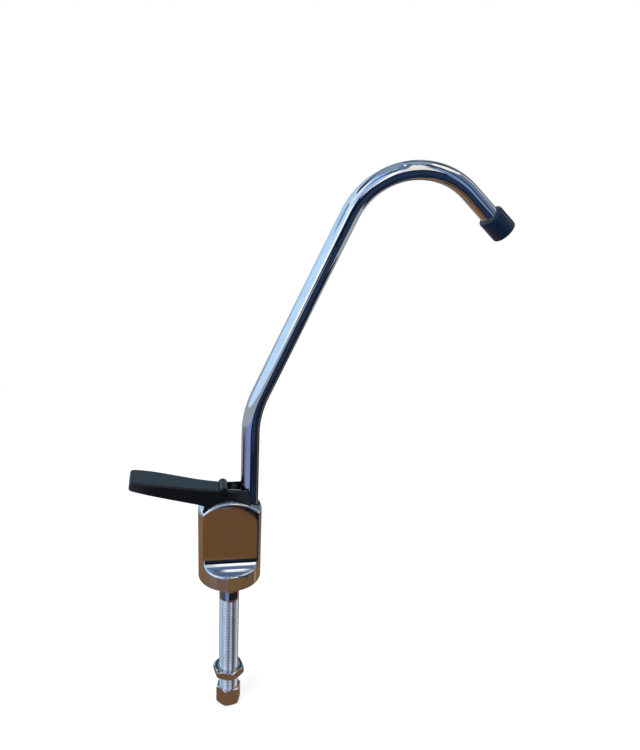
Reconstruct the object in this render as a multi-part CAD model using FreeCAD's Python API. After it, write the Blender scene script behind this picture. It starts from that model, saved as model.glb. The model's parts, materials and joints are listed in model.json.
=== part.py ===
import FreeCAD, Part
import math
import os
from FreeCAD import Vector

# A long-reach lever tap for filtered drinking water, in millimetres.
# The origin is on the body's axis at its deck face. +Z is up, and the spout reaches towards +X.
# The lever reaches towards -X. The tap is drawn shut, with the lever raised.

# Clearances
THREAD_GAP = 0.05
RUNNING_GAP = 0.07
SEAT_GAP = 0.05
FREE_GAP = 0.30
CUT_OVERRUN = 1.0
EDGE_MARGIN = 0.05

# Body casting
BODY_DIAMETER = 34.2
BODY_HEIGHT = 50.6
BODY_FLATS = 17.1
DOME_RADIUS = 23.0
DOME_SHOULDER_RADIUS = 2.5
BASE_RING_HEIGHT = 9.3
BASE_EDGE_RADIUS = 0.6
LEDGE_BLEND_RADIUS = 6.0
FLAT_EDGE_RADIUS = 1.2

# Threaded shank, which is also the compression end for a 1/4 in tube
SHANK_DIAMETER = 11.1
SHANK_LENGTH_BELOW_DECK = 83.5
SHANK_THREAD_IN_BODY = 10.0
SHANK_END_CHAMFER = 0.8
SHANK_WATERWAY = 4.8
PLENUM_HEIGHT = 2.0
TUBE_HOLE = 6.6
TUBE_SOCKET_DEPTH = 9.0

# Nuts
MOUNTING_NUT_FLATS = 15.9
MOUNTING_NUT_THICKNESS = 4.8
MOUNTING_NUT_TOP_BELOW_DECK = 62.7
MOUNTING_NUT_TURN = 11.5
COMPRESSION_NUT_FLATS = 12.7
COMPRESSION_NUT_LENGTH = 11.0
COMPRESSION_NUT_WALL = 2.4
COMPRESSION_NUT_TURN = -17.5
SLEEVE_WALL = 0.9
SLEEVE_CONE = 1.6
NUT_CHAMFER_ANGLE = 30.0
NUT_FACE_INSET = 0.1
NUT_COUNTERSINK = 0.7

# Valve
VALVE_AXIS_OFFSET = 3.7
VALVE_LIFT = 2.5
CHAMBER_DIAMETER = 10.4
CHAMBER_FLOOR_HEIGHT = 16.0
SEAT_BORE = 4.0
SEAT_RIM_WIDTH = 1.0
SEAT_RIM_HEIGHT = 1.4
WASHER_DIAMETER = 8.3
WASHER_THICKNESS = 2.5
WASHER_CUP_WALL = 0.45
WASHER_CUP_DEPTH = 1.8
POPPET_THICKNESS = 2.5
WASHER_SCREW_DIAMETER = 2.0
WASHER_SCREW_HEAD = 3.0
WASHER_SCREW_HEAD_HEIGHT = 0.8
WASHER_SCREW_LENGTH = 6.0
STEM_ROD_DIAMETER = 4.0
STEM_WAIST_DIAMETER = 4.8
STEM_PISTON_DIAMETER = 6.2
STEM_PISTON_LENGTH = 12.0
STEM_SPIGOT_DIAMETER = 3.1

# Bonnet that closes the valve chamber
BONNET_THREAD_DIAMETER = 11.6
BONNET_THREAD_LENGTH = 4.8
BONNET_BELOW_DOME = 2.3
BONNET_PLUG_LENGTH = 4.5
BONNET_GUIDE_ROOF = 2.3
SPANNER_HOLE_DIAMETER = 1.6
SPANNER_HOLE_DEPTH = 1.5

# O-rings
BONNET_RING_SECTION = 1.2
STEM_RING_SECTION = 1.1
SPOUT_RING_SECTION = 1.4
RING_GROOVE_SLACK = 0.3

# Spring
SPRING_WIRE = 1.0
SPRING_MEAN_DIAMETER = 8.3
SPRING_TURNS = 6.0

# T-bar that the lever hangs on
T_BAR_ABOVE_DOME = 4.1
T_BAR_DIAMETER = 4.8
T_BAR_LENGTH = 11.4
T_BAR_EDGE = 0.4
T_BAR_HOLE_DEPTH = 3.8

# Lever, by its sections from the outer end to the forked rear end, with rises above the T-bar's axis
LEVER_REACH = 52.5
LEVER_TIP_RISE = 8.6
LEVER_TIP_LEAN = 9.0
LEVER_MID_X = -30.0
LEVER_MID_RISE = 5.0
LEVER_NECK_X = -6.2
LEVER_NECK_RISE = 0.9
LEVER_REAR_X = 10.4
LEVER_REAR_RISE = 0.4
LEVER_TIP_WIDTH = 15.6
LEVER_MID_WIDTH = 14.4
LEVER_NECK_WIDTH = 11.2
LEVER_REAR_WIDTH = 13.4
LEVER_DRAFT = 8.4
LEVER_WALL = 1.4
LEVER_TOP_THICKNESS = 1.9
LEVER_TIP_UNDERSIDE_RISE = 4.8
LEVER_KINK_X = -16.0
LEVER_KINK_DROP = 6.3
LEVER_TOE_SLOPE = 28.0
LEVER_TIP_CORNER_RADIUS = 2.2
LEVER_TOP_EDGE_RADIUS = 0.9
LEVER_REAR_LEAN = 11.0
LEVER_RIB_THICKNESS = 1.2
LEVER_FIRST_RIB_X = -23.0
LEVER_RIB_SPACING = 14.0
LEVER_RIBS = 2

# Spout tube, 3/8 in
SPOUT_AXIS_OFFSET = 10.3
TUBE_DIAMETER = 9.52
TUBE_WALL = 0.8
RISER_ABOVE_DOME = 35.3
RISER_BEND_RADIUS = 54.3
RISER_BEND_ANGLE = 24.0
LEAN_LENGTH = 101.2
CROOK_RADIUS = 36.9
CROOK_ANGLE = 108.9
OUTLET_LENGTH = 28.7

# Spout tip
TIP_DIAMETER = 13.4
TIP_LENGTH = 12.4
TIP_TUBE_DEPTH = 8.0
TIP_STOP_WIDTH = 0.9
TIP_EDGE_RADIUS = 1.0
TIP_LIP = 0.7
STRAIGHTENER_DIAMETER = 9.8
STRAIGHTENER_THICKNESS = 2.6
STRAIGHTENER_HOLE = 2.1
STRAIGHTENER_HOLES = 6
STRAIGHTENER_HOLE_CIRCLE = 6.2

# Spout socket, adapter and what holds and seals it
SOCKET_DIAMETER = 10.6
SOCKET_FLOOR_HEIGHT = 18.0
MOUTH_DIAMETER = 11.9
BUSHING_BELOW_DOME = 6.3
BUSHING_LENGTH = 3.7
ADAPTER_CLEARANCE_UNDER = 7.0
ADAPTER_WATERWAY = 5.2
ADAPTER_SPIGOT_LENGTH = 8.0
SPOUT_RING_SPACING = 4.0
SPOUT_RING_FROM_END = 2.4
RETAINER_THICKNESS = 1.2
RETAINER_DIAMETER = 11.5
RETAINER_BORE = 8.8
RETAINER_SPLIT = 3.0
RETAINER_BELOW_SHOULDER = 3.4
CROSS_PORT_DIAMETER = 4.4

body_r = BODY_DIAMETER / 2
shank_r = SHANK_DIAMETER / 2
tube_r = TUBE_DIAMETER / 2
valve_x = -VALVE_AXIS_OFFSET
spout_x = SPOUT_AXIS_OFFSET
dome_centre_z = BODY_HEIGHT - DOME_RADIUS
up = Vector(0, 0, 1)
along = Vector(1, 0, 0)
across = Vector(0, 1, 0)
parts = {}


def cylinder(radius, low, high, x=0.0):
    """Upright cylinder on the axis at x, between two heights."""
    return Part.makeCylinder(radius, high - low, Vector(x, 0, low), up)


def turned(points, x=0.0):
    """Solid turned about the upright axis at x from a closed outline of (radius, height)."""
    corners = [Vector(x + radius, 0, height) for radius, height in points]
    face = Part.Face(Part.makePolygon(corners + corners[:1]))
    return face.revolve(Vector(x, 0, 0), up, 360)


def o_ring(reach, section, height, x):
    """O-ring whose outside reaches out to one radius."""
    return Part.makeTorus(reach - section / 2, section / 2, Vector(x, 0, height), up)


def drilled(solid, radius, places, low, high):
    """Solid with an upright hole at each (x, y)."""
    for x, y in places:
        solid = solid.cut(Part.makeCylinder(radius, high - low, Vector(x, y, low), up))
    return solid


def hexagon(flats, low, high, turn):
    """Hexagonal prism on the body's axis, with a corner turned from -Y by an angle in degrees."""
    corner_r = flats / math.sqrt(3)
    corners = []
    for step in range(7):
        angle = math.radians(turn - 90 + 60 * step)
        corners.append(Vector(corner_r * math.cos(angle), corner_r * math.sin(angle), low))
    return Part.Face(Part.makePolygon(corners)).extrude(Vector(0, 0, high - low))


def chamfered_hexagon(flats, low, high, turn):
    """Hexagonal prism whose corners are turned down to a cone at both ends."""
    corner_r = flats / math.sqrt(3)
    face_r = flats / 2 - NUT_FACE_INSET
    drop = (corner_r - face_r) * math.tan(math.radians(NUT_CHAMFER_ANGLE))
    outline = [
        (0, low),
        (face_r, low),
        (corner_r, low + drop),
        (corner_r, high - drop),
        (face_r, high),
        (0, high),
    ]
    return hexagon(flats, low, high, turn).common(turned(outline))


def dome_height(radius):
    """Height of the domed top at a distance from the body's axis."""
    return dome_centre_z + math.sqrt(DOME_RADIUS ** 2 - radius ** 2)


# Heights that several pieces share
bonnet_top_z = BODY_HEIGHT - BONNET_BELOW_DOME
bushing_top_z = BODY_HEIGHT - BUSHING_BELOW_DOME
riser_top_z = BODY_HEIGHT + RISER_ABOVE_DOME
t_bar_z = BODY_HEIGHT + T_BAR_ABOVE_DOME
plenum_top = SHANK_THREAD_IN_BODY + PLENUM_HEIGHT
seat_z = CHAMBER_FLOOR_HEIGHT + SEAT_RIM_HEIGHT
washer_z = seat_z + SEAT_GAP
poppet_z = washer_z + WASHER_THICKNESS
poppet_top = poppet_z + POPPET_THICKNESS
bonnet_shoulder_z = bonnet_top_z - BONNET_THREAD_LENGTH
bonnet_bottom_z = bonnet_shoulder_z - BONNET_PLUG_LENGTH
guide_top_z = bonnet_top_z - BONNET_GUIDE_ROOF
mouth_z = bushing_top_z - BUSHING_LENGTH
adapter_z = SOCKET_FLOOR_HEIGHT + ADAPTER_CLEARANCE_UNDER
cross_port_z = (SOCKET_FLOOR_HEIGHT + adapter_z) / 2
tube_z = mouth_z - SEAT_GAP
retainer_z = tube_z - RETAINER_BELOW_SHOULDER
piston_r = STEM_PISTON_DIAMETER / 2
guide_r = piston_r + RUNNING_GAP
socket_r = SOCKET_DIAMETER / 2
adapter_r = socket_r - RUNNING_GAP
chamber_r = CHAMBER_DIAMETER / 2


# Body casting, with its flats, ledges, dome, valve chamber and spout socket
def body_blank():
    shoulder = DOME_SHOULDER_RADIUS
    shoulder_r = body_r - shoulder
    rise = math.sqrt((DOME_RADIUS - shoulder) ** 2 - shoulder_r ** 2)
    shoulder_z = dome_centre_z + rise
    grow = DOME_RADIUS / (DOME_RADIUS - shoulder)
    dome_end = Vector(shoulder_r * grow, 0, dome_centre_z + rise * grow)
    lean = math.atan2(rise, shoulder_r) / 2
    shoulder_mid = Vector(shoulder_r + shoulder * math.cos(lean), 0, shoulder_z + shoulder * math.sin(lean))
    half_end = math.atan2(dome_end.x, dome_end.z - dome_centre_z) / 2
    dome_mid = Vector(DOME_RADIUS * math.sin(half_end), 0, dome_centre_z + DOME_RADIUS * math.cos(half_end))
    edge = BASE_EDGE_RADIUS
    edge_mid = Vector(body_r - edge + edge * math.sin(math.pi / 4), 0, edge - edge * math.cos(math.pi / 4))
    foot = Vector(0, 0, 0)
    foot_edge = Vector(body_r - edge, 0, 0)
    wall_low = Vector(body_r, 0, edge)
    wall_high = Vector(body_r, 0, shoulder_z)
    top = Vector(0, 0, BODY_HEIGHT)
    edges = [
        Part.makeLine(foot, foot_edge),
        Part.Arc(foot_edge, edge_mid, wall_low).toShape(),
        Part.makeLine(wall_low, wall_high),
        Part.Arc(wall_high, shoulder_mid, dome_end).toShape(),
        Part.Arc(dome_end, dome_mid, top).toShape(),
        Part.makeLine(top, foot),
    ]
    return Part.Face(Part.Wire(edges)).revolve(Vector(0, 0, 0), up, 360)


def flat_cutter(side):
    """What is cut away on one side to leave the flat, the blend and the ledge."""
    flat_y = BODY_FLATS / 2
    blend = LEDGE_BLEND_RADIUS
    start_x = -body_r - CUT_OVERRUN
    out_y = body_r + CUT_OVERRUN
    top_z = BODY_HEIGHT + CUT_OVERRUN
    blend_mid_y = flat_y + blend - blend * math.cos(math.pi / 4)
    blend_mid_z = BASE_RING_HEIGHT + blend - blend * math.sin(math.pi / 4)
    flat_top = Vector(start_x, side * flat_y, top_z)
    flat_foot = Vector(start_x, side * flat_y, BASE_RING_HEIGHT + blend)
    blend_mid = Vector(start_x, side * blend_mid_y, blend_mid_z)
    ledge_start = Vector(start_x, side * (flat_y + blend), BASE_RING_HEIGHT)
    ledge_end = Vector(start_x, side * out_y, BASE_RING_HEIGHT)
    outer_top = Vector(start_x, side * out_y, top_z)
    edges = [
        Part.makeLine(flat_top, flat_foot),
        Part.Arc(flat_foot, blend_mid, ledge_start).toShape(),
        Part.makeLine(ledge_start, ledge_end),
        Part.makeLine(ledge_end, outer_top),
        Part.makeLine(outer_top, flat_top),
    ]
    return Part.Face(Part.Wire(edges)).extrude(Vector(-2 * start_x, 0, 0))


def rounded_flats(body):
    """Body with the edges round its flats and ledges softened, as on a polished casting."""
    edges = []
    for edge in body.Edges:
        box = edge.BoundBox
        on_one_side = box.YMin > EDGE_MARGIN or box.YMax < -EDGE_MARGIN
        straight_along = box.YLength < EDGE_MARGIN and box.ZLength < EDGE_MARGIN
        if on_one_side and not straight_along:
            edges.append(edge)
    return body.makeFillet(FLAT_EDGE_RADIUS, edges)


def make_body():
    body = body_blank()
    for side in (-1, 1):
        body = body.cut(flat_cutter(side))
    body = rounded_flats(body)
    over_top = BODY_HEIGHT + CUT_OVERRUN
    body = body.cut(cylinder(shank_r + THREAD_GAP, -CUT_OVERRUN, plenum_top))
    body = body.cut(cylinder(SEAT_BORE / 2, SHANK_THREAD_IN_BODY, seat_z + CUT_OVERRUN, valve_x))
    seat_rim = cylinder(SEAT_BORE / 2 + SEAT_RIM_WIDTH, CHAMBER_FLOOR_HEIGHT, seat_z, valve_x)
    body = body.cut(cylinder(chamber_r, CHAMBER_FLOOR_HEIGHT, over_top, valve_x).cut(seat_rim))
    thread_r = BONNET_THREAD_DIAMETER / 2 + THREAD_GAP
    body = body.cut(cylinder(thread_r, bonnet_shoulder_z, over_top, valve_x))
    body = body.cut(cylinder(socket_r, SOCKET_FLOOR_HEIGHT, over_top, spout_x))
    body = body.cut(cylinder(MOUTH_DIAMETER / 2, mouth_z, over_top, spout_x))
    groove_r = RETAINER_DIAMETER / 2 + RUNNING_GAP
    groove_low = retainer_z - RETAINER_THICKNESS / 2 - RUNNING_GAP
    groove_high = retainer_z + RETAINER_THICKNESS / 2 + RUNNING_GAP
    body = body.cut(cylinder(groove_r, groove_low, groove_high, spout_x))
    port_r = CROSS_PORT_DIAMETER / 2
    port_start = Vector(valve_x, 0, cross_port_z)
    return body.cut(Part.makeCylinder(port_r, spout_x - valve_x, port_start, along))


parts["tap_body"] = make_body()


# Threaded shank, hollow, with a tube socket and a coned seat in its lower end
def make_shank():
    end_z = -SHANK_LENGTH_BELOW_DECK
    chamfer = SHANK_END_CHAMFER
    outline = [
        (0, end_z),
        (shank_r - chamfer, end_z),
        (shank_r, end_z + chamfer),
        (shank_r, SHANK_THREAD_IN_BODY),
        (0, SHANK_THREAD_IN_BODY),
    ]
    shank = turned(outline)
    shank = shank.cut(cylinder(SHANK_WATERWAY / 2, end_z - CUT_OVERRUN, SHANK_THREAD_IN_BODY + CUT_OVERRUN))
    shank = shank.cut(cylinder(TUBE_HOLE / 2, end_z, end_z + TUBE_SOCKET_DEPTH))
    cone_r = TUBE_HOLE / 2 + SLEEVE_WALL
    cone = Part.makeCone(cone_r, TUBE_HOLE / 2, SLEEVE_CONE, Vector(0, 0, end_z), up)
    return shank.cut(cone)


parts["threaded_shank"] = make_shank()


# Mounting nut, run down near the end of the shank
nut_top = -MOUNTING_NUT_TOP_BELOW_DECK
nut_low = nut_top - MOUNTING_NUT_THICKNESS
nut_bore_r = shank_r + THREAD_GAP


def make_mounting_nut():
    """Nut whose thread is countersunk at both faces."""
    nut = chamfered_hexagon(MOUNTING_NUT_FLATS, nut_low, nut_top, MOUNTING_NUT_TURN)
    nut = nut.cut(cylinder(nut_bore_r, nut_low - CUT_OVERRUN, nut_top + CUT_OVERRUN))
    for face_z, inward in ((nut_low, up), (nut_top, -up)):
        open_r = nut_bore_r + NUT_COUNTERSINK
        nut = nut.cut(Part.makeCone(open_r, nut_bore_r, NUT_COUNTERSINK, Vector(0, 0, face_z), inward))
    return nut


parts["mounting_nut"] = make_mounting_nut()


# Compression nut on the shank's end, and the sleeve that it squeezes on the tube
sleeve_high = -SHANK_LENGTH_BELOW_DECK + SLEEVE_CONE * (1 - 2 * SEAT_GAP / SLEEVE_WALL)
sleeve_shoulder = -SHANK_LENGTH_BELOW_DECK - SEAT_GAP
sleeve_low = sleeve_shoulder - SLEEVE_CONE
nut_inner_end = sleeve_low - SEAT_GAP
comp_low = nut_inner_end - COMPRESSION_NUT_WALL
comp_high = comp_low + COMPRESSION_NUT_LENGTH


def make_compression_nut():
    nut = chamfered_hexagon(COMPRESSION_NUT_FLATS, comp_low, comp_high, COMPRESSION_NUT_TURN)
    nut = nut.cut(cylinder(shank_r + THREAD_GAP, nut_inner_end, comp_high + CUT_OVERRUN))
    return nut.cut(cylinder(TUBE_HOLE / 2, comp_low - CUT_OVERRUN, nut_inner_end))


def make_sleeve():
    inner = TUBE_HOLE / 2
    outer = inner + SLEEVE_WALL - SEAT_GAP
    tip = inner + SEAT_GAP
    outline = [
        (inner, sleeve_low),
        (outer, sleeve_low),
        (outer, sleeve_shoulder),
        (tip, sleeve_high),
        (inner, sleeve_high),
    ]
    return turned(outline)


parts["compression_nut"] = make_compression_nut()
parts["compression_sleeve"] = make_sleeve()


# Bonnet, a threaded plug that guides the stem and holds the spring down
def ring_groove(reach, section, height, x):
    """Groove round a shaft, as the ring to cut away, for an O-ring with one reach and section."""
    half = (section + RING_GROOVE_SLACK) / 2
    slot = cylinder(reach + CUT_OVERRUN, height - half, height + half, x)
    return slot.cut(cylinder(reach - section - SEAT_GAP, height - half, height + half, x))


bonnet_r = chamber_r - RUNNING_GAP
bonnet_ring_reach = chamber_r - SEAT_GAP
bonnet_ring_z = bonnet_bottom_z + BONNET_PLUG_LENGTH / 2


def make_bonnet():
    thread_r = BONNET_THREAD_DIAMETER / 2
    bonnet = cylinder(thread_r, bonnet_shoulder_z, bonnet_top_z, valve_x)
    bonnet = bonnet.fuse(cylinder(bonnet_r, bonnet_bottom_z, bonnet_shoulder_z, valve_x)).removeSplitter()
    bonnet = bonnet.cut(cylinder(guide_r, bonnet_bottom_z - CUT_OVERRUN, guide_top_z, valve_x))
    rod_hole_r = STEM_ROD_DIAMETER / 2 + RUNNING_GAP
    over_top = bonnet_top_z + CUT_OVERRUN
    bonnet = bonnet.cut(cylinder(rod_hole_r, guide_top_z - CUT_OVERRUN, over_top, valve_x))
    bonnet = bonnet.cut(ring_groove(bonnet_ring_reach, BONNET_RING_SECTION, bonnet_ring_z, valve_x))
    hole_reach = (thread_r + rod_hole_r) / 2
    places = [(valve_x - hole_reach, 0), (valve_x + hole_reach, 0)]
    low = bonnet_top_z - SPANNER_HOLE_DEPTH
    return drilled(bonnet, SPANNER_HOLE_DIAMETER / 2, places, low, over_top)


parts["bonnet"] = make_bonnet()
parts["bonnet_o_ring"] = o_ring(bonnet_ring_reach, BONNET_RING_SECTION, bonnet_ring_z, valve_x)


# Valve stem with its piston, poppet and washer cup
stem_shoulder_z = t_bar_z - T_BAR_DIAMETER / 2 - SEAT_GAP
piston_top = guide_top_z - VALVE_LIFT - FREE_GAP
piston_low = piston_top - STEM_PISTON_LENGTH
stem_ring_z = bonnet_bottom_z + STEM_RING_SECTION
stem_ring_reach = guide_r - SEAT_GAP


def make_stem():
    rod_r = STEM_ROD_DIAMETER / 2
    waist_r = STEM_WAIST_DIAMETER / 2
    cup_r = WASHER_DIAMETER / 2 + WASHER_CUP_WALL
    cup_z = poppet_z - WASHER_CUP_DEPTH
    stem = cylinder(cup_r, cup_z, poppet_top, valve_x)
    stem = stem.cut(cylinder(WASHER_DIAMETER / 2, cup_z, poppet_z, valve_x))
    stem = stem.fuse(cylinder(waist_r, poppet_top, piston_low, valve_x))
    stem = stem.fuse(cylinder(piston_r, piston_low, piston_top, valve_x))
    stem = stem.fuse(cylinder(rod_r, piston_top, stem_shoulder_z, valve_x))
    spigot_r = STEM_SPIGOT_DIAMETER / 2
    spigot_top = stem_shoulder_z + T_BAR_HOLE_DEPTH
    stem = stem.fuse(cylinder(spigot_r, stem_shoulder_z, spigot_top, valve_x)).removeSplitter()
    stem = stem.cut(ring_groove(stem_ring_reach, STEM_RING_SECTION, stem_ring_z, valve_x))
    screw_r = WASHER_SCREW_DIAMETER / 2 + THREAD_GAP
    return stem.cut(cylinder(screw_r, poppet_z, washer_z + WASHER_SCREW_LENGTH + SEAT_GAP, valve_x))


def make_washer():
    reach = WASHER_DIAMETER / 2 - THREAD_GAP
    washer = cylinder(reach, washer_z, poppet_z, valve_x)
    hole_r = WASHER_SCREW_DIAMETER / 2 + THREAD_GAP
    return washer.cut(cylinder(hole_r, washer_z - CUT_OVERRUN, poppet_z + CUT_OVERRUN, valve_x))


def make_washer_screw():
    head = cylinder(WASHER_SCREW_HEAD / 2, washer_z - WASHER_SCREW_HEAD_HEIGHT, washer_z, valve_x)
    slot_depth = WASHER_SCREW_HEAD_HEIGHT / 2
    slot_width = WASHER_SCREW_DIAMETER / 4
    slot_corner = Vector(valve_x - WASHER_SCREW_HEAD, -slot_width / 2, washer_z - WASHER_SCREW_HEAD_HEIGHT)
    slot = Part.makeBox(2 * WASHER_SCREW_HEAD, slot_width, slot_depth, slot_corner)
    shaft = cylinder(WASHER_SCREW_DIAMETER / 2, washer_z, washer_z + WASHER_SCREW_LENGTH, valve_x)
    return head.cut(slot).fuse(shaft).removeSplitter()


parts["valve_stem"] = make_stem()
parts["stem_o_ring"] = o_ring(stem_ring_reach, STEM_RING_SECTION, stem_ring_z, valve_x)
parts["seat_washer"] = make_washer()
parts["washer_screw"] = make_washer_screw()


# Valve spring, between the poppet and the bonnet
def make_spring():
    mean_r = SPRING_MEAN_DIAMETER / 2
    wire_r = SPRING_WIRE / 2
    start_z = poppet_top + SEAT_GAP + wire_r
    length = bonnet_bottom_z - SEAT_GAP - wire_r - start_z
    helix = Part.makeHelix(length / SPRING_TURNS, length, mean_r)
    ring = Part.Wire(Part.makeCircle(wire_r, Vector(mean_r, 0, 0), across))
    spring = Part.Wire(helix.Edges).makePipeShell([ring], True, True)
    spring.translate(Vector(valve_x, 0, start_z))
    return spring


parts["valve_spring"] = make_spring()


# T-bar, a cross barrel on the stem's upper end
def make_t_bar():
    radius = T_BAR_DIAMETER / 2
    half = T_BAR_LENGTH / 2
    outline = [
        Vector(0, -half, 0),
        Vector(radius - T_BAR_EDGE, -half, 0),
        Vector(radius, -half + T_BAR_EDGE, 0),
        Vector(radius, half - T_BAR_EDGE, 0),
        Vector(radius - T_BAR_EDGE, half, 0),
        Vector(0, half, 0),
    ]
    face = Part.Face(Part.makePolygon(outline + outline[:1]))
    bar = face.revolve(Vector(0, 0, 0), across, 360)
    bar.translate(Vector(valve_x, 0, t_bar_z))
    hole_r = STEM_SPIGOT_DIAMETER / 2 + THREAD_GAP
    hole_top = stem_shoulder_z + T_BAR_HOLE_DEPTH + SEAT_GAP
    return bar.cut(cylinder(hole_r, stem_shoulder_z, hole_top, valve_x))


parts["t_bar"] = make_t_bar()


# Lever, a hollow moulding with drafted walls, forked round the spout tube
lever_tip_z = t_bar_z + LEVER_TIP_RISE
lever_mid_z = t_bar_z + LEVER_MID_RISE
lever_neck_z = t_bar_z + LEVER_NECK_RISE
lever_rear_z = t_bar_z + LEVER_REAR_RISE
lever_kink_z = t_bar_z - LEVER_KINK_DROP
tip_underside_z = t_bar_z + LEVER_TIP_UNDERSIDE_RISE
lever_depth = lever_tip_z - dome_centre_z
draft = math.tan(math.radians(LEVER_DRAFT))
tip_lean = math.tan(math.radians(LEVER_TIP_LEAN))
tip_top_x = -LEVER_REACH + (lever_tip_z - tip_underside_z) * tip_lean
lever_stations = [
    (tip_top_x, lever_tip_z, LEVER_TIP_WIDTH / 2, tip_lean),
    (LEVER_MID_X, lever_mid_z, LEVER_MID_WIDTH / 2, 0),
    (LEVER_NECK_X, lever_neck_z, LEVER_NECK_WIDTH / 2, 0),
    (LEVER_REAR_X, lever_rear_z, LEVER_REAR_WIDTH / 2, 0),
]


def lever_form(inset, lowered, trim):
    """Lofted lever form: walls set in by one amount, top lowered, outer end trimmed."""
    wires = []
    for x, top_z, half, lean in lever_stations:
        high_x = max(x, tip_top_x + trim) - lowered * lean
        low_x = high_x - lever_depth * lean
        z = top_z - lowered
        top_half = half - inset + lowered * draft
        low_half = top_half + lever_depth * draft
        corners = [
            Vector(high_x, -top_half, z),
            Vector(high_x, top_half, z),
            Vector(low_x, low_half, z - lever_depth),
            Vector(low_x, -low_half, z - lever_depth),
        ]
        wires.append(Part.makePolygon(corners + corners[:1]))
    return Part.makeLoft(wires, True, False)


def side_cutter(points):
    """Prism right across the lever from a closed outline of (x, height)."""
    half = body_r
    corners = [Vector(x, -half, z) for x, z in points]
    face = Part.Face(Part.makePolygon(corners + corners[:1]))
    return face.extrude(Vector(0, 2 * half, 0))


def lever_outside():
    form = lever_form(0, 0, 0)
    tip_edges = []
    for edge in form.Edges:
        box = edge.BoundBox
        if box.XMax < tip_top_x + EDGE_MARGIN and box.ZLength > LEVER_TIP_WIDTH:
            tip_edges.append(edge)
    form = form.makeFillet(LEVER_TIP_CORNER_RADIUS, tip_edges)
    top_edges = []
    for edge in form.Edges:
        box = edge.BoundBox
        if box.ZMin > lever_rear_z - EDGE_MARGIN and box.XMin < LEVER_REAR_X - EDGE_MARGIN:
            top_edges.append(edge)
    return form.makeFillet(LEVER_TOP_EDGE_RADIUS, top_edges)


def lever_hollow(low_z, high_z):
    """Everything moulded out of the lever from below, and out of its fork from above."""
    hollow = lever_form(LEVER_WALL, LEVER_TOP_THICKNESS, LEVER_WALL)
    open_top = lever_form(LEVER_WALL, -lever_depth / 2, LEVER_WALL)
    far_x = LEVER_REAR_X + CUT_OVERRUN
    behind = side_cutter([(valve_x, low_z), (far_x, low_z), (far_x, high_z), (valve_x, high_z)])
    hollow = hollow.fuse(open_top.common(behind))
    for step in range(LEVER_RIBS):
        corner = Vector(LEVER_FIRST_RIB_X - step * LEVER_RIB_SPACING, -body_r, low_z)
        hollow = hollow.cut(Part.makeBox(LEVER_RIB_THICKNESS, 2 * body_r, 2 * lever_depth, corner))
    return hollow


def lever_underside(low_z):
    """What lies below the lever's sloping underside and its toe."""
    tip_x = -LEVER_REACH - lever_depth
    fall = (tip_underside_z - lever_kink_z) / (LEVER_KINK_X + LEVER_REACH)
    toe_run = lever_kink_z - dome_centre_z
    toe_x = LEVER_KINK_X + toe_run / math.tan(math.radians(LEVER_TOE_SLOPE))
    outline = [
        (tip_x, tip_underside_z + fall * lever_depth),
        (LEVER_KINK_X, lever_kink_z),
        (toe_x, dome_centre_z),
        (toe_x, low_z),
        (tip_x, low_z),
    ]
    return side_cutter(outline)


def lever_saddles(high_z):
    """Round-bottomed slots that the T-bar drops into."""
    slot_r = T_BAR_DIAMETER / 2 + RUNNING_GAP
    left = valve_x - slot_r
    right = valve_x + slot_r
    round_bottom = Part.makeCylinder(slot_r, 2 * body_r, Vector(valve_x, -body_r, t_bar_z), across)
    outline = [(left, t_bar_z), (right, t_bar_z), (right, high_z), (left, high_z)]
    return side_cutter(outline).fuse(round_bottom)


def lever_rear(low_z, high_z):
    """What lies behind the leaning rear ends of the fork."""
    lean = math.tan(math.radians(LEVER_REAR_LEAN))
    rear_x = LEVER_REAR_X - (lever_rear_z - dome_height(LEVER_REAR_X)) * lean
    low_x = rear_x + (lever_rear_z - low_z) * lean
    high_x = rear_x - (high_z - lever_rear_z) * lean
    beyond_x = low_x + lever_depth
    return side_cutter([(low_x, low_z), (beyond_x, low_z), (beyond_x, high_z), (high_x, high_z)])


def make_lever():
    high_z = lever_tip_z + lever_depth
    low_z = lever_rear_z - lever_depth - CUT_OVERRUN
    lever = lever_outside().cut(lever_hollow(low_z, high_z))
    lever = lever.cut(lever_underside(low_z))
    lever = lever.cut(Part.makeSphere(DOME_RADIUS + FREE_GAP, Vector(0, 0, dome_centre_z)))
    lever = lever.cut(lever_saddles(high_z))
    return lever.cut(lever_rear(low_z, high_z))


parts["lever"] = make_lever()


# Spout tube, bent in one plane
def spout_path(end_length):
    """Centre line of the tube as a wire, with its end point."""
    lean = math.radians(RISER_BEND_ANGLE)
    turn = math.radians(CROOK_ANGLE)
    start = Vector(spout_x, 0, tube_z)
    riser_top = Vector(spout_x, 0, riser_top_z)

    def bend_point(centre, radius, heading):
        """Point on a clockwise bend where the tube heads at an angle from upright."""
        return centre + Vector(-math.cos(heading), 0, math.sin(heading)) * radius

    first_centre = riser_top + Vector(RISER_BEND_RADIUS, 0, 0)
    first_mid = bend_point(first_centre, RISER_BEND_RADIUS, lean / 2)
    first_end = bend_point(first_centre, RISER_BEND_RADIUS, lean)
    heading = Vector(math.sin(lean), 0, math.cos(lean))
    crook_start = first_end + heading * LEAN_LENGTH
    crook_centre = crook_start + Vector(math.cos(lean), 0, -math.sin(lean)) * CROOK_RADIUS
    crook_mid = bend_point(crook_centre, CROOK_RADIUS, lean + turn / 2)
    crook_end = bend_point(crook_centre, CROOK_RADIUS, lean + turn)
    out = Vector(math.sin(lean + turn), 0, math.cos(lean + turn))
    end = crook_end + out * end_length
    edges = [
        Part.makeLine(start, riser_top),
        Part.Arc(riser_top, first_mid, first_end).toShape(),
        Part.makeLine(first_end, crook_start),
        Part.Arc(crook_start, crook_mid, crook_end).toShape(),
        Part.makeLine(crook_end, end),
    ]
    return Part.Wire(edges), end


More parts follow.
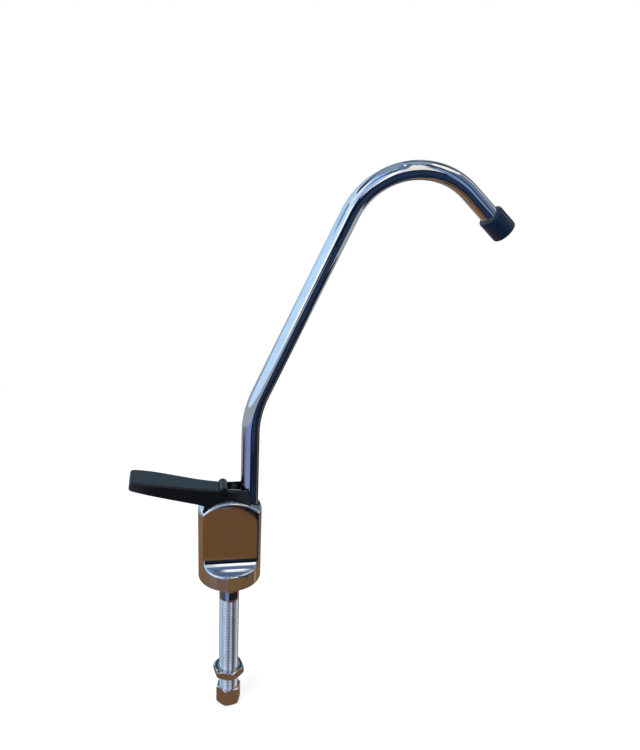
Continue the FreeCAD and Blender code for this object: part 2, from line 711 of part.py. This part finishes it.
def make_tube():
    path, end = spout_path(OUTLET_LENGTH - TIP_LENGTH + TIP_TUBE_DEPTH)
    start = Vector(spout_x, 0, tube_z)
    outside = Part.Wire(Part.makeCircle(tube_r, start, up))
    inside = Part.Wire(Part.makeCircle(tube_r - TUBE_WALL, start, up))
    return path.makePipeShell([outside], True, False).cut(path.makePipeShell([inside], True, False))


parts["spout_tube"] = make_tube()


# Spout tip and the flow straightener pressed in it, drawn upright and then set on the tube's end
def make_tip():
    radius = TIP_DIAMETER / 2
    tip = cylinder(radius, 0, TIP_LENGTH)
    rims = [edge for edge in tip.Edges if edge.BoundBox.ZLength < EDGE_MARGIN]
    tip = tip.makeFillet(TIP_EDGE_RADIUS, rims)
    tip = tip.cut(cylinder(tube_r + THREAD_GAP, TIP_LENGTH - TIP_TUBE_DEPTH, TIP_LENGTH + CUT_OVERRUN))
    tip = tip.cut(cylinder(tube_r - TIP_STOP_WIDTH, -CUT_OVERRUN, TIP_LENGTH))
    recess_top = TIP_LIP + STRAIGHTENER_THICKNESS + SEAT_GAP
    return tip.cut(cylinder(STRAIGHTENER_DIAMETER / 2 + THREAD_GAP, -CUT_OVERRUN, recess_top))


def make_straightener():
    disc = cylinder(STRAIGHTENER_DIAMETER / 2, TIP_LIP, TIP_LIP + STRAIGHTENER_THICKNESS)
    places = [(0, 0)]
    for step in range(STRAIGHTENER_HOLES):
        angle = 2 * math.pi * step / STRAIGHTENER_HOLES
        reach = STRAIGHTENER_HOLE_CIRCLE / 2
        places.append((reach * math.cos(angle), reach * math.sin(angle)))
    return drilled(disc, STRAIGHTENER_HOLE / 2, places, 0, TIP_LIP + STRAIGHTENER_THICKNESS + CUT_OVERRUN)


def on_outlet(solid):
    """Move a piece drawn upright with its outlet face at z = 0 to the end of the spout."""
    path, end = spout_path(OUTLET_LENGTH)
    tilt = RISER_BEND_ANGLE + CROOK_ANGLE - 180
    solid.rotate(Vector(0, 0, 0), across, tilt)
    solid.translate(end)
    return solid


parts["spout_tip"] = on_outlet(make_tip())
parts["flow_straightener"] = on_outlet(make_straightener())


# Bushing that steadies the tube in the mouth of the socket
def make_bushing():
    over_top = bushing_top_z + CUT_OVERRUN
    bushing = cylinder(MOUTH_DIAMETER / 2 - THREAD_GAP, mouth_z, bushing_top_z, spout_x)
    return bushing.cut(cylinder(tube_r + RUNNING_GAP, mouth_z - CUT_OVERRUN, over_top, spout_x))


parts["spout_bushing"] = make_bushing()


# Spout adapter, its two O-rings and the split ring that keeps it in the socket
first_ring_z = adapter_z + SPOUT_RING_FROM_END
spout_ring_heights = [first_ring_z, first_ring_z + SPOUT_RING_SPACING]
spout_ring_reach = socket_r - SEAT_GAP


def make_adapter():
    shoulder_z = tube_z - SEAT_GAP
    spigot_r = tube_r - TUBE_WALL - THREAD_GAP
    spigot_top = tube_z + ADAPTER_SPIGOT_LENGTH
    adapter = cylinder(adapter_r, adapter_z, shoulder_z, spout_x)
    adapter = adapter.fuse(cylinder(spigot_r, shoulder_z, spigot_top, spout_x)).removeSplitter()
    waterway_r = ADAPTER_WATERWAY / 2
    adapter = adapter.cut(cylinder(waterway_r, adapter_z - CUT_OVERRUN, spigot_top + CUT_OVERRUN, spout_x))
    for height in spout_ring_heights:
        adapter = adapter.cut(ring_groove(spout_ring_reach, SPOUT_RING_SECTION, height, spout_x))
    slot_low = retainer_z - RETAINER_THICKNESS / 2 - RUNNING_GAP
    slot_high = retainer_z + RETAINER_THICKNESS / 2 + RUNNING_GAP
    slot = cylinder(socket_r, slot_low, slot_high, spout_x)
    return adapter.cut(slot.cut(cylinder(RETAINER_BORE / 2 - RUNNING_GAP, slot_low, slot_high, spout_x)))


def make_spout_rings():
    rings = [o_ring(spout_ring_reach, SPOUT_RING_SECTION, z, spout_x) for z in spout_ring_heights]
    return Part.makeCompound(rings)


def make_retaining_ring():
    low = retainer_z - RETAINER_THICKNESS / 2
    high = retainer_z + RETAINER_THICKNESS / 2
    ring = cylinder(RETAINER_DIAMETER / 2, low, high, spout_x)
    ring = ring.cut(cylinder(RETAINER_BORE / 2, low - CUT_OVERRUN, high + CUT_OVERRUN, spout_x))
    split_corner = Vector(spout_x - RETAINER_SPLIT / 2, 0, low - CUT_OVERRUN)
    split_height = RETAINER_THICKNESS + 2 * CUT_OVERRUN
    return ring.cut(Part.makeBox(RETAINER_SPLIT, RETAINER_DIAMETER, split_height, split_corner))


parts["spout_adapter"] = make_adapter()
parts["spout_o_rings"] = make_spout_rings()
parts["spout_retaining_ring"] = make_retaining_ring()

os.makedirs("parts", exist_ok=True)
for node, shape in parts.items():
    shape.exportStep(os.path.join("parts", node + ".step"))
    print(node, "solids", len(shape.Solids), "valid", shape.isValid(), "volume", round(shape.Volume, 2))
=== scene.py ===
import json
import math

import bpy
from mathutils import Matrix, Vector


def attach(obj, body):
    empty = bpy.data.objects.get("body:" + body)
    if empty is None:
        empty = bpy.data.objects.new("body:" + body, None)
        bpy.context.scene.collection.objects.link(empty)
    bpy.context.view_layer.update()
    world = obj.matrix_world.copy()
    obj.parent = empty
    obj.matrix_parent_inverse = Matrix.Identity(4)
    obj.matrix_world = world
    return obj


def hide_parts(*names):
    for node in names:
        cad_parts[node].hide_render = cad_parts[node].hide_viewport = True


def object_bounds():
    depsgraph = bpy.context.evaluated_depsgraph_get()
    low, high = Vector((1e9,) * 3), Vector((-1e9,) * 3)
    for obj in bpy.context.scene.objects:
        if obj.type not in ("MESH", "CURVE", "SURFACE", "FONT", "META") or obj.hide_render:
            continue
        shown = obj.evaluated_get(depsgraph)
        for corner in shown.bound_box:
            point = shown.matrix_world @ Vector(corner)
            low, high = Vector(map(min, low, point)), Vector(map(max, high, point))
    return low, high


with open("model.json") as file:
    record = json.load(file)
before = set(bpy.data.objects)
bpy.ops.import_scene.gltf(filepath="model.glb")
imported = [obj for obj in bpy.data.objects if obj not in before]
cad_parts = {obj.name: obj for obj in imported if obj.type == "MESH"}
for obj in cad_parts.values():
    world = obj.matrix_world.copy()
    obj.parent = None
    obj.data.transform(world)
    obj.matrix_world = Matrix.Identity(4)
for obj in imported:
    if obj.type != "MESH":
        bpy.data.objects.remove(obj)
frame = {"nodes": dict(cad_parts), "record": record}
cad_low, cad_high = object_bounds()
nodes = frame["nodes"]


def link(name, data):
    thing = bpy.data.objects.new(name, data)
    bpy.context.scene.collection.objects.link(thing)
    return thing


# Camera, as the photograph sees the tap: from above, in front and a little to the left
CAMERA_PLACE = Vector((-0.028534, -0.385372, 0.268694))
CAMERA_PITCH = math.radians(21.03)
CAMERA_YAW = math.radians(10.88)
CAMERA_ROLL = math.radians(-2.95)
FOCAL_PIXELS = 816
FRAME_HEIGHT_PIXELS = 750
SENSOR = 36.0
CLIP_NEAR = 0.01
CLIP_FAR = 20


def make_camera():
    forward = Vector((
        math.sin(CAMERA_YAW) * math.cos(CAMERA_PITCH),
        math.cos(CAMERA_YAW) * math.cos(CAMERA_PITCH),
        -math.sin(CAMERA_PITCH),
    ))
    level = Vector((math.cos(CAMERA_YAW), -math.sin(CAMERA_YAW), 0))
    down = forward.cross(level)
    right = level * math.cos(CAMERA_ROLL) + down * math.sin(CAMERA_ROLL)
    below = down * math.cos(CAMERA_ROLL) - level * math.sin(CAMERA_ROLL)
    data = bpy.data.cameras.new("camera")
    data.sensor_width = SENSOR
    data.lens = SENSOR * FOCAL_PIXELS / FRAME_HEIGHT_PIXELS
    data.clip_start = CLIP_NEAR
    data.clip_end = CLIP_FAR
    camera = link("camera", data)
    turn = Matrix((right, -below, -forward)).transposed().to_4x4()
    camera.matrix_world = Matrix.Translation(CAMERA_PLACE) @ turn
    bpy.context.scene.camera = camera


make_camera()

# Materials
LIGHTER = 1.35
GRAIN_HEIGHT = 0.0001


def new_material(name, kind="ShaderNodeBsdfPrincipled"):
    material = bpy.data.materials.new(name)
    material.use_nodes = True
    tree = material.node_tree
    tree.nodes.clear()
    output = tree.nodes.new("ShaderNodeOutputMaterial")
    shader = tree.nodes.new(kind)
    tree.links.new(shader.outputs[0], output.inputs["Surface"])
    return material, tree, shader


def noise(tree, scale, detail, rough=0.5):
    place = tree.nodes.new("ShaderNodeTexCoord")
    node = tree.nodes.new("ShaderNodeTexNoise")
    node.inputs["Scale"].default_value = scale
    node.inputs["Detail"].default_value = detail
    node.inputs["Roughness"].default_value = rough
    tree.links.new(place.outputs["Object"], node.inputs["Vector"])
    return node


def vary(tree, pattern, low, high, socket):
    """Drive a socket by a pattern, between two stops that each pair a strength with a colour."""
    node = tree.nodes.new("ShaderNodeValToRGB")
    for element, (place, colour) in zip(node.color_ramp.elements, (low, high)):
        element.position = place
        element.color = (*colour, 1)
    tree.links.new(pattern.outputs["Fac"], node.inputs["Fac"])
    tree.links.new(node.outputs["Color"], socket)


def grey(value):
    return (value, value, value)


def chrome_material():
    material, tree, shader = new_material("polished_chrome")
    shader.inputs["Metallic"].default_value = 1
    blotch = noise(tree, scale=90, detail=3)
    dark, light = (0.78, 0.79, 0.81), (0.86, 0.87, 0.88)
    vary(tree, blotch, (0.3, dark), (0.7, light), shader.inputs["Base Color"])
    haze = noise(tree, scale=240, detail=4, rough=0.6)
    vary(tree, haze, (0.35, grey(0.03)), (0.75, grey(0.075)), shader.inputs["Roughness"])
    return material


def metal_material(name, dark, light, smooth, dull):
    """Machined or drawn metal: blotches of two tones, and smoother and duller spots."""
    material, tree, shader = new_material(name)
    shader.inputs["Metallic"].default_value = 1
    blotch = noise(tree, scale=300, detail=4)
    vary(tree, blotch, (0.3, dark), (0.7, light), shader.inputs["Base Color"])
    wear = noise(tree, scale=900, detail=5, rough=0.6)
    vary(tree, wear, (0.3, grey(smooth)), (0.75, grey(dull)), shader.inputs["Roughness"])
    return material


def moulded_material(name, colour, smooth, dull, grain, relief):
    """Moulded plastic or rubber: a faint mottle, smoother and duller spots, and a fine grain."""
    material, tree, shader = new_material(name)
    mottle = noise(tree, scale=120, detail=4, rough=0.6)
    paler = tuple(LIGHTER * part for part in colour)
    vary(tree, mottle, (0.3, colour), (0.75, paler), shader.inputs["Base Color"])
    wear = noise(tree, scale=420, detail=5, rough=0.65)
    vary(tree, wear, (0.3, grey(smooth)), (0.75, grey(dull)), shader.inputs["Roughness"])
    fine = noise(tree, scale=grain, detail=3)
    bump = tree.nodes.new("ShaderNodeBump")
    bump.inputs["Strength"].default_value = relief
    bump.inputs["Distance"].default_value = GRAIN_HEIGHT
    tree.links.new(fine.outputs["Fac"], bump.inputs["Height"])
    tree.links.new(bump.outputs["Normal"], shader.inputs["Normal"])
    return material


finishes = {
    "chrome_plate": chrome_material(),
    "bare_brass": metal_material(
        "machined_brass", dark=(0.66, 0.48, 0.20), light=(0.78, 0.60, 0.30), smooth=0.18, dull=0.34
    ),
    "black_gloss": moulded_material(
        "black_gloss_plastic",
        (0.0028, 0.0032, 0.0040),
        smooth=0.14,
        dull=0.26,
        grain=2500,
        relief=0.05,
    ),
    # Black satin plastic. The black is the part's own colour; the navy tint in its base colour is
    # painted reflection of a navy surround.
    "black_satin": moulded_material(
        "black_satin_plastic_painted_navy_sheen",
        (0.0020, 0.0075, 0.0220),
        smooth=0.18,
        dull=0.30,
        grain=3000,
        relief=0.08,
    ),
    "pale_plastic": moulded_material(
        "pale_plastic", (0.62, 0.62, 0.60), smooth=0.40, dull=0.55, grain=2500, relief=0.05
    ),
    "seal_rubber": moulded_material(
        "seal_rubber", (0.02, 0.02, 0.021), smooth=0.55, dull=0.75, grain=3500, relief=0.15
    ),
    "spring_steel": metal_material(
        "spring_steel", dark=(0.42, 0.42, 0.44), light=(0.60, 0.60, 0.62), smooth=0.20, dull=0.36
    ),
}
slot_of = {row["node"]: row["material_slot"] for row in frame["record"]["subparts"]}
for name, thing in nodes.items():
    thing.data.materials.clear()
    thing.data.materials.append(finishes[slot_of[name]])

# Nuts with a small rounding on their sharp edges, so that they catch the light
NUT_EDGE_WIDTH = 0.00016
SHARP_EDGE = math.radians(30)
WELD_REACH = 0.000002

for name in ("mounting_nut", "compression_nut"):
    weld = nodes[name].modifiers.new("weld", "WELD")
    weld.merge_threshold = WELD_REACH
    bevel = nodes[name].modifiers.new("bevel", "BEVEL")
    bevel.width = NUT_EDGE_WIDTH
    bevel.segments = 2
    bevel.limit_method = "ANGLE"
    bevel.angle_limit = SHARP_EDGE
    bevel.harden_normals = True

# Shank with its rolled thread, 24 turns to the inch, below a plain neck
SHANK_RADIUS = 0.00555
SHANK_TOP = 0.010
THREAD_TOP = -0.0142
THREAD_LOW = -0.0827
THREAD_PITCH = 0.0254 / 24
THREAD_DEPTH = 0.00042
THREAD_FADE = 0.0016
THREAD_ROWS = 8
THREAD_COLUMNS = 64
THREAD_CREASE = math.radians(60)
SHANK_FOOT_AND_BORE = [
    (0.00475, -0.0835),
    (0.0042, -0.0835),
    (0.0033, -0.0819),
    (0.0033, -0.0745),
    (0.0024, -0.0745),
    (0.0024, SHANK_TOP),
]


def thread_radius(angle, height):
    """Radius of a right-hand thread whose groove runs out at both ends."""
    turns = (height - THREAD_LOW) / THREAD_PITCH - angle / (2 * math.pi)
    groove = (1 - math.cos(2 * math.pi * turns)) / 2
    room = min(THREAD_TOP - height, height - THREAD_LOW)
    fade = max(0.0, min(1.0, room / THREAD_FADE))
    return SHANK_RADIUS - THREAD_DEPTH * groove * fade


def make_shank_thread():
    """Closed hollow turning: neck, thread, chamfered foot, coned tube socket and waterway."""
    rows = [(None, SHANK_TOP), (None, THREAD_TOP + THREAD_PITCH)]
    steps = int((THREAD_TOP - THREAD_LOW) / THREAD_PITCH * THREAD_ROWS)
    for step in range(steps + 1):
        rows.append((None, THREAD_TOP + (THREAD_LOW - THREAD_TOP) * step / steps))
    rows += SHANK_FOOT_AND_BORE
    points = []
    for radius, height in rows:
        for column in range(THREAD_COLUMNS):
            angle = 2 * math.pi * column / THREAD_COLUMNS
            reach = thread_radius(angle, height) if radius is None else radius
            points.append((reach * math.cos(angle), reach * math.sin(angle), height))
    faces = []
    for row in range(len(rows)):
        below = (row + 1) % len(rows)
        for column in range(THREAD_COLUMNS):
            after = (column + 1) % THREAD_COLUMNS
            faces.append((
                row * THREAD_COLUMNS + column,
                below * THREAD_COLUMNS + column,
                below * THREAD_COLUMNS + after,
                row * THREAD_COLUMNS + after,
            ))
    mesh = bpy.data.meshes.new("shank_thread")
    mesh.from_pydata(points, [], faces)
    mesh.shade_smooth()
    mesh.set_sharp_from_angle(angle=THREAD_CREASE)
    mesh.materials.append(finishes["chrome_plate"])
    shank = link("shank_thread", mesh)
    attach(shank, "tap_body")
    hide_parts("threaded_shank")


make_shank_thread()

# Stage: panels that only show as reflections
FLOOR_GAP = 0.0002
FLOOR_HEIGHT = cad_low.z - FLOOR_GAP
LAYER = 0.0001
SHEET_STEP = 5.0
SECTOR_STEP = 6
ROOM_DISTANCE = 3.0
PANEL_DISTANCE = 2.0
OVER_PANEL_DISTANCE = 1.95
STREAK_DISTANCE = 1.9
BAND_DISTANCE = 1.5
OVER_BAND_DISTANCE = 1.4


def add_panel(name, points, faces, colour, strength=1.0):
    """Glowing panel that shows in reflections and nowhere else."""
    mesh = bpy.data.meshes.new(name)
    mesh.from_pydata(points, [], faces)
    material, _, shader = new_material(name, "ShaderNodeEmission")
    shader.inputs["Color"].default_value = (*colour, 1)
    shader.inputs["Strength"].default_value = strength
    mesh.materials.append(material)
    panel = link(name, mesh)
    panel.visible_camera = False
    panel.visible_diffuse = False
    panel.visible_shadow = False
    panel.visible_transmission = False
    panel.visible_volume_scatter = False


def angles_between(low, high, steps):
    return [math.radians(low + (high - low) * step / steps) for step in range(steps + 1)]


def sheet(name, point_at, firsts, seconds, colour, strength):
    """Patch of a curved sheet over two ranges of angles, from the point at each pair of angles."""
    rows = max(2, math.ceil(abs(firsts[1] - firsts[0]) / SHEET_STEP))
    columns = max(2, math.ceil(abs(seconds[1] - seconds[0]) / SHEET_STEP))
    points = []
    for first in angles_between(*firsts, rows):
        for second in angles_between(*seconds, columns):
            points.append(point_at(first, second))
    faces = []
    for row in range(rows):
        for column in range(columns):
            corner = row * (columns + 1) + column
            faces.append((corner, corner + 1, corner + columns + 2, corner + columns + 1))
    add_panel(name, points, faces, colour, strength)


def sky_patch(name, azimuths, elevations, colour, strength=1.0, distance=PANEL_DISTANCE):
    """Patch of the room's dome. Azimuth runs from front to right, elevation from level up."""

    def point(azimuth, elevation):
        level = distance * math.cos(elevation)
        height = distance * math.sin(elevation)
        return (level * math.sin(azimuth), -level * math.cos(azimuth), height)

    sheet(name, point, azimuths, elevations, colour, strength)


def over_band(name, sweep, sides, colour, strength=1.0, distance=BAND_DISTANCE):
    """Strip that sweeps from the front over the top to the back, between two sideways angles."""

    def point(swept, side):
        level = distance * math.cos(side)
        return (distance * math.sin(side), -level * math.cos(swept), level * math.sin(swept))

    sheet(name, point, sweep, sides, colour, strength)


def table_point(angle, radius, height):
    return (radius * math.sin(angle), -radius * math.cos(angle), height)


def sector(name, azimuths, radii, height, colour):
    """Flat ring sector round the tap at one height."""
    low, high = azimuths
    steps = max(2, int(abs(high - low) / SECTOR_STEP))
    points = []
    for angle in angles_between(low, high, steps):
        for radius in radii:
            points.append(table_point(angle, radius, height))
    faces = [(2 * i, 2 * i + 2, 2 * i + 3, 2 * i + 1) for i in range(steps)]
    add_panel(name, points, faces, colour)


def table_shape(name, corners, height, colour):
    """Flat polygon round the tap, its corners given by azimuth and radius."""
    points = [table_point(math.radians(azimuth), radius, height) for azimuth, radius in corners]
    add_panel(name, points, [tuple(range(len(points)))], colour)


BROWN = (0.150, 0.074, 0.030)
NAVY = (0.010, 0.016, 0.032)
BLACK = (0.006, 0.007, 0.010)
SKY = (0.50, 0.72, 0.98)
CEILING = (0.25, 0.34, 0.46)
SLATE = (0.12, 0.17, 0.31)
WHITE = (1.0, 1.0, 1.0)
CREAM = (1.0, 0.95, 0.88)
PALE = (0.34, 0.38, 0.44)

# Brown table round the tap, its dark far side and the floor beyond, in three thin layers
TABLE_EDGE = 0.238
TABLE_REACH = 0.50
TABLE_MIDDLE = 0.164
NECK_RING = (0.086, 0.113)
TABLE_CORNER = [
    (5.0, 0.239),
    (7.0, 0.233),
    (9.0, 0.2245),
    (10.2, 0.214),
    (11.0, 0.200),
    (11.0, 0.275),
    (5.0, 0.275),
]
TABLE_SPOT = [(44, 0.169), (70, 0.169), (62, 0.147), (56, 0.150)]
TABLE_COPPER = [
    (118, 0.0),
    (112, 0.125),
    (126, 0.118),
    (140, 0.078),
    (158, 0.050),
    (180, 0.036),
    (215, 0.030),
]
table_top = FLOOR_HEIGHT + LAYER
table_over = table_top + LAYER
table_last = table_over + LAYER
sector("table", (-180, 180), (0.0, TABLE_EDGE), table_top, BROWN)
sector("table_far", (-3, 100), (TABLE_EDGE, TABLE_REACH), table_top, NAVY)
sector("floor_front", (-3, 62), (TABLE_REACH, ROOM_DISTANCE), table_top, NAVY)
sector("floor_sides", (62, 357), (TABLE_REACH, ROOM_DISTANCE), table_top, PALE)
sector("floor_back", (100, 235), (TABLE_EDGE, TABLE_REACH), table_top, PALE)
sector("table_deep", (10, 50), (0.34, ROOM_DISTANCE), table_over, (0.018, 0.036, 0.085))
sector("table_dark", (11, 100), (0.168, 0.275), table_over, (0.012, 0.020, 0.042))
table_shape("table_corner", TABLE_CORNER, table_over, BLACK)
sector("table_tan", (-180, -75), (0.0, TABLE_EDGE), table_over, (0.215, 0.125, 0.072))
sector("table_pink", (-75, -50), (0.0, TABLE_MIDDLE), table_over, (0.195, 0.145, 0.118))
sector("table_mauve", (-50, -8), (0.0, TABLE_MIDDLE), table_over, (0.185, 0.118, 0.084))
sector("table_orange", (-8, 36), (0.0, TABLE_MIDDLE), table_over, (0.180, 0.105, 0.050))
sector("table_olive", (36, 97), (0.0, 0.168), table_over, (0.155, 0.095, 0.045))
table_shape("table_spot", TABLE_SPOT, table_last, (0.030, 0.032, 0.070))
sector("table_line", (97, 104), (0.0, 0.245), table_last, (0.36, 0.28, 0.21))
sector("table_right", (104, 180), (0.0, 0.245), table_over, (0.215, 0.125, 0.060))
sector("table_rim", (104, 150), (0.245, 0.40), table_over, (0.050, 0.034, 0.030))
sector("table_near", (-118, 118), (0.0, 0.080), table_last, (0.165, 0.092, 0.050))
table_shape("table_copper", TABLE_COPPER, table_last, (0.40, 0.215, 0.120))
sector("neck_teal", (-108, -46), NECK_RING, table_last, (0.055, 0.085, 0.11))
sector("neck_blue", (-46, -8), NECK_RING, table_last, (0.16, 0.24, 0.55))
sector("neck_dark", (-8, 110), NECK_RING, table_last, (0.012, 0.012, 0.018))
sector("table_sky", (-55, -3), (0.252, TABLE_REACH), table_over, (0.20, 0.27, 0.62))
sector("table_side", (-125, -55), (TABLE_EDGE, TABLE_REACH), table_over, (0.220, 0.195, 0.225))

# Room behind everything, then windows and walls in front of it
sky_patch("room_front", (-24, 62), (-4, 45), NAVY, distance=ROOM_DISTANCE)
sky_patch("room", (62, 336), (-4, 45), PALE, distance=ROOM_DISTANCE)
sky_patch("ceiling", (-180, 180), (45, 90), CEILING, distance=ROOM_DISTANCE)
sky_patch("window", (-110, -22), (-2, 24), SKY, 1.15)
sky_patch("window_white", (-41, -27), (3, 24), WHITE, 1.2, distance=OVER_PANEL_DISTANCE)
sky_patch("window_side", (-165, -110), (8, 52), SKY, 1.1)
sky_patch("side_blue", (-110, -72), (24, 66), (0.24, 0.38, 0.58))
sky_patch("side_white", (-97, -78), (35, 46), WHITE, distance=OVER_PANEL_DISTANCE)
sky_patch("window_top", (-70, -46), (24, 66), (0.75, 0.88, 1.0), 1.1)
sky_patch("blue", (-45, -11), (24, 66), (0.36, 0.55, 0.92))
sky_patch("front_dark", (-11, 11), (0, 16), BLACK)
sky_patch("front_pale", (-11, 12), (16, 66), (0.56, 0.68, 0.84))
sky_patch("front_cream", (12, 27), (16, 66), CREAM, 0.9)
sky_patch("front_blue", (27, 40), (8, 66), (0.16, 0.27, 0.48))
sky_patch("front_line", (24, 36), (2, 8), (0.28, 0.42, 0.66))
sky_patch("front_shade", (40, 52), (0, 66), (0.035, 0.060, 0.100))
sky_patch("right_slate", (52, 66), (0, 66), SLATE)
sky_patch("strip_right", (66, 108), (-3, 66), WHITE)
sky_patch("arm_slate", (66, 100), (20, 45), (0.16, 0.22, 0.34), distance=OVER_PANEL_DISTANCE)
sky_patch("right_dark", (108, 150), (0, 60), (0.13, 0.15, 0.18))
sky_patch("back", (140, 225), (12, 35), (0.30, 0.47, 0.62))
sky_patch("back_teal", (160, 190), (37, 45), (0.03, 0.06, 0.08), distance=STREAK_DISTANCE)

# Bands overhead, seen in the crook and the lean of the spout
over_band("front_light", (17, 38), (2.2, 9.0), WHITE, 1.3)
over_band("over_slate", (45, 90), (1.2, 9), SLATE)
over_band("over_teal", (60, 90), (-1, 1.9), (0.13, 0.28, 0.42), distance=OVER_BAND_DISTANCE)
over_band("over_navy", (76, 90), (1.9, 2.95), (0.03, 0.06, 0.12), distance=OVER_BAND_DISTANCE)
over_band("over_light", (76, 90), (2.95, 4.9), WHITE, 1.3, distance=OVER_BAND_DISTANCE)

# Streaks round the shank, seen in the upper slopes of its thread
STREAK_ELEVATIONS = (46, 61)
STREAKS = [
    ("streak_teal", (-160, -80), (0.05, 0.09, 0.11)),
    ("streak_white", (-78, -50), WHITE),
    ("streak_blue", (-50, -14), (0.13, 0.25, 0.66)),
    ("streak_brown", (-14, 9), (0.030, 0.020, 0.016)),
    ("streak_cream", (9, 34), CREAM),
    ("streak_dark", (34, 55), (0.015, 0.015, 0.018)),
    ("streak_pale", (55, 102), WHITE),
    ("streak_shade", (102, 170), (0.035, 0.050, 0.055)),
]
for name, azimuths, colour in STREAKS:
    sky_patch(name, azimuths, STREAK_ELEVATIONS, colour, distance=STREAK_DISTANCE)

# Floor, lamps and world
FLOOR_REACH = 6.0
FLOOR_COLOUR = grey(0.86)
FLOOR_ROUGHNESS = 0.9
FLOOR_NEAR = 0.10
FLOOR_FAR = 0.55
FLOOR_WHITE_NEAR = 0.55
FLOOR_WHITE_FAR = 1.0
ROOM_LIGHT = (0.9, 0.95, 1.0)
ROOM_LIGHT_STRENGTH = 0.6


def seen_or_mirrored(tree):
    """One for rays from the camera, off a mirror or through glass, and nought for the rest."""
    paths = tree.nodes.new("ShaderNodeLightPath")
    total = paths.outputs["Is Camera Ray"]
    for kind in ("Is Glossy Ray", "Is Transmission Ray"):
        either = tree.nodes.new("ShaderNodeMath")
        either.operation = "MAXIMUM"
        tree.links.new(total, either.inputs[0])
        tree.links.new(paths.outputs[kind], either.inputs[1])
        total = either.outputs["Value"]
    return total


def floor_material():
    """Pale floor that keeps the shadow near the tap and turns to plain white further off."""
    material, tree, shader = new_material("pale_floor")
    shader.inputs["Base Color"].default_value = (*FLOOR_COLOUR, 1)
    shader.inputs["Roughness"].default_value = FLOOR_ROUGHNESS
    shader.inputs["Specular IOR Level"].default_value = 0.0
    output = tree.nodes["Material Output"]
    place = tree.nodes.new("ShaderNodeTexCoord")
    distance = tree.nodes.new("ShaderNodeVectorMath")
    distance.operation = "LENGTH"
    reach = tree.nodes.new("ShaderNodeMapRange")
    reach.interpolation_type = "SMOOTHSTEP"
    reach.inputs["From Min"].default_value = FLOOR_NEAR
    reach.inputs["From Max"].default_value = FLOOR_FAR
    reach.inputs["To Min"].default_value = FLOOR_WHITE_NEAR
    reach.inputs["To Max"].default_value = FLOOR_WHITE_FAR
    share = tree.nodes.new("ShaderNodeMath")
    share.operation = "MULTIPLY"
    white = tree.nodes.new("ShaderNodeEmission")
    mix = tree.nodes.new("ShaderNodeMixShader")
    tree.links.new(place.outputs["Object"], distance.inputs[0])
    tree.links.new(distance.outputs["Value"], reach.inputs["Value"])
    tree.links.new(reach.outputs["Result"], share.inputs[0])
    tree.links.new(seen_or_mirrored(tree), share.inputs[1])
    tree.links.new(share.outputs["Value"], mix.inputs["Fac"])
    tree.links.new(shader.outputs["BSDF"], mix.inputs[1])
    tree.links.new(white.outputs["Emission"], mix.inputs[2])
    tree.links.new(mix.outputs["Shader"], output.inputs["Surface"])
    return material


def make_floor():
    near, far = -FLOOR_REACH, FLOOR_REACH
    corners = [(near, near, 0), (far, near, 0), (far, far, 0), (near, far, 0)]
    mesh = bpy.data.meshes.new("floor")
    mesh.from_pydata(corners, [], [(0, 1, 2, 3)])
    mesh.materials.append(floor_material())
    floor = link("floor", mesh)
    floor.location.z = FLOOR_HEIGHT


def make_lamp(name, place, size, power):
    """Square soft lamp that faces the origin and doesn't show in reflections."""
    data = bpy.data.lights.new(name, "AREA")
    data.shape = "SQUARE"
    data.size = size
    data.energy = power
    lamp = link(name, data)
    lamp.location = place
    lamp.rotation_mode = "QUATERNION"
    lamp.rotation_quaternion = (-Vector(place)).to_track_quat("-Z", "Y")
    lamp.visible_glossy = False


def make_world():
    """World that looks white and lights the tap with a faint blue."""
    world = bpy.data.worlds.new("world")
    bpy.context.scene.world = world
    world.use_nodes = True
    tree = world.node_tree
    tree.nodes.clear()
    output = tree.nodes.new("ShaderNodeOutputWorld")
    seen = tree.nodes.new("ShaderNodeBackground")
    light = tree.nodes.new("ShaderNodeBackground")
    mix = tree.nodes.new("ShaderNodeMixShader")
    seen.inputs["Color"].default_value = (*WHITE, 1)
    light.inputs["Color"].default_value = (*ROOM_LIGHT, 1)
    light.inputs["Strength"].default_value = ROOM_LIGHT_STRENGTH
    tree.links.new(seen_or_mirrored(tree), mix.inputs["Fac"])
    tree.links.new(light.outputs["Background"], mix.inputs[1])
    tree.links.new(seen.outputs["Background"], mix.inputs[2])
    tree.links.new(mix.outputs["Shader"], output.inputs["Surface"])


make_floor()
make_lamp("key_lamp", (-0.7, -0.6, 1.1), size=0.7, power=14)
make_lamp("fill_lamp", (0.9, -0.5, 0.8), size=0.8, power=7)
make_lamp("back_lamp", (0.1, 1.0, 1.0), size=0.8, power=8)
make_world()
bpy.context.scene.view_settings.view_transform = "Standard"
